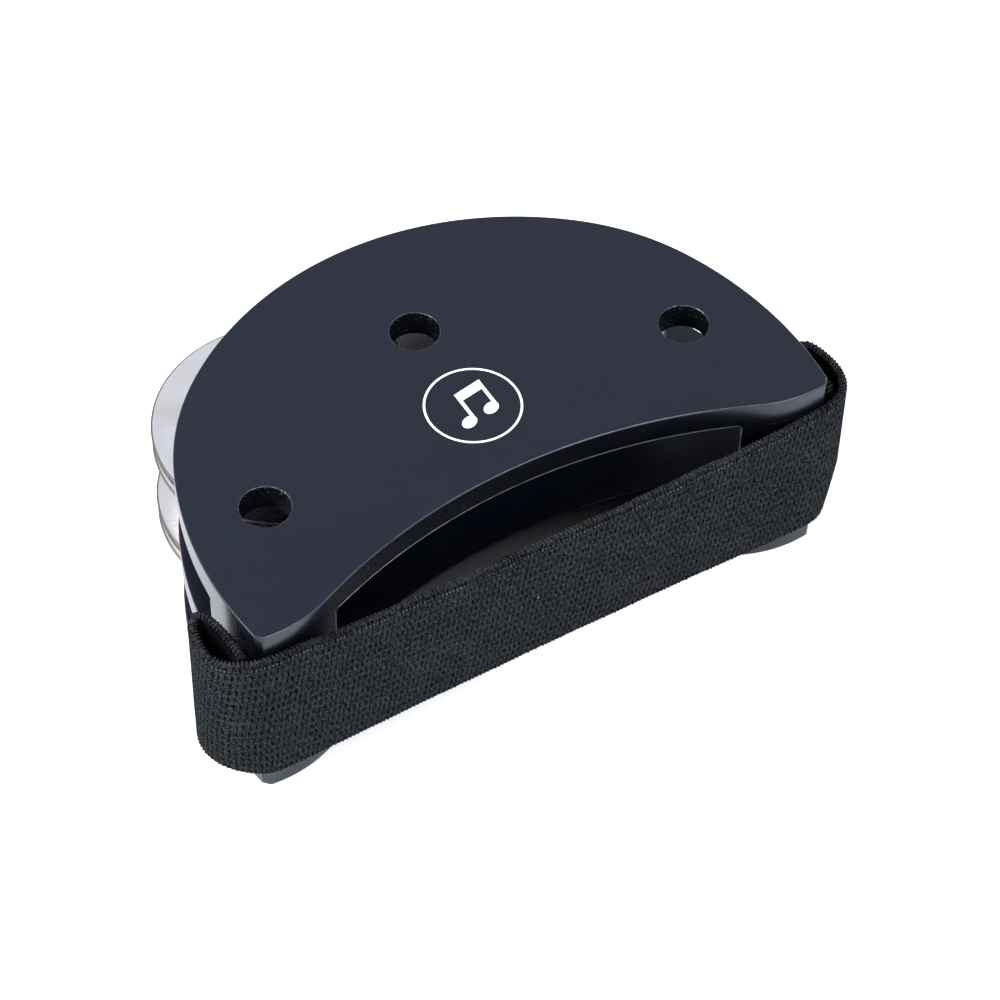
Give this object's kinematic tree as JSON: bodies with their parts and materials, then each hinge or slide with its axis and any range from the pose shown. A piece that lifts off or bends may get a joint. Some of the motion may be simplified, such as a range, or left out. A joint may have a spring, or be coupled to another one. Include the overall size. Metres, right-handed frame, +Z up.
{
  "type": "foot tambourine",
  "caption": "Half-moon foot tambourine: stacked black boards with open slots holding loose metal jingles on upright pins, and a wide elastic strap across the hollow side.",
  "frame": {"origin": "on the floor, under the middle of the bounding box", "axes": "+X from the left tip to the right tip, +Y from the strap towards the rounded side, +Z up"},
  "size_m": [0.142, 0.0842, 0.046],
  "materials": {
    "painted_board": "fibreboard sprayed satin black",
    "nickel_plate": "thin steel sheet, bright nickel plate",
    "pin_steel": "plain drawn steel",
    "elastic": "woven elastic, black",
    "staple_wire": "galvanised wire"
  },
  "bodies": {
    "frame": {"top_plate": "painted_board", "middle_plate": "painted_board", "bottom_plate": "painted_board", "upper_spacer_left": "painted_board", "upper_spacer_right": "painted_board", "lower_spacer_left": "painted_board", "lower_spacer_right": "painted_board", "jingle_pin_left": "pin_steel", "jingle_pin_right": "pin_steel", "strap_staples_left": "staple_wire", "strap_staples_right": "staple_wire", "elastic_strap": "elastic"},
    "jingle_upper_left_bottom": {"jingle_upper_left_bottom": "nickel_plate"},
    "jingle_upper_left_top": {"jingle_upper_left_top": "nickel_plate"},
    "jingle_upper_right_bottom": {"jingle_upper_right_bottom": "nickel_plate"},
    "jingle_upper_right_top": {"jingle_upper_right_top": "nickel_plate"},
    "jingle_lower_left_bottom": {"jingle_lower_left_bottom": "nickel_plate"},
    "jingle_lower_left_top": {"jingle_lower_left_top": "nickel_plate"},
    "jingle_lower_right_bottom": {"jingle_lower_right_bottom": "nickel_plate"},
    "jingle_lower_right_top": {"jingle_lower_right_top": "nickel_plate"}
  },
  "joints": [
    {"name": "rattle_upper_left_bottom", "type": "slide", "parent": "frame", "child": "jingle_upper_left_bottom", "axis": [0, 0, 1], "range_m": [0, 0.0018]},
    {"name": "rattle_upper_left_top", "type": "slide", "parent": "jingle_upper_left_bottom", "child": "jingle_upper_left_top", "axis": [0, 0, 1], "range_m": [0, 0.0018]},
    {"name": "rattle_upper_right_bottom", "type": "slide", "parent": "frame", "child": "jingle_upper_right_bottom", "axis": [0, 0, 1], "range_m": [0, 0.0018]},
    {"name": "rattle_upper_right_top", "type": "slide", "parent": "jingle_upper_right_bottom", "child": "jingle_upper_right_top", "axis": [0, 0, 1], "range_m": [0, 0.0018]},
    {"name": "rattle_lower_left_bottom", "type": "slide", "parent": "frame", "child": "jingle_lower_left_bottom", "axis": [0, 0, 1], "range_m": [0, 0.0018]},
    {"name": "rattle_lower_left_top", "type": "slide", "parent": "jingle_lower_left_bottom", "child": "jingle_lower_left_top", "axis": [0, 0, 1], "range_m": [0, 0.0018]},
    {"name": "rattle_lower_right_bottom", "type": "slide", "parent": "frame", "child": "jingle_lower_right_bottom", "axis": [0, 0, 1], "range_m": [0, 0.0018]},
    {"name": "rattle_lower_right_top", "type": "slide", "parent": "jingle_lower_right_bottom", "child": "jingle_lower_right_top", "axis": [0, 0, 1], "range_m": [0, 0.0018]}
  ]
}
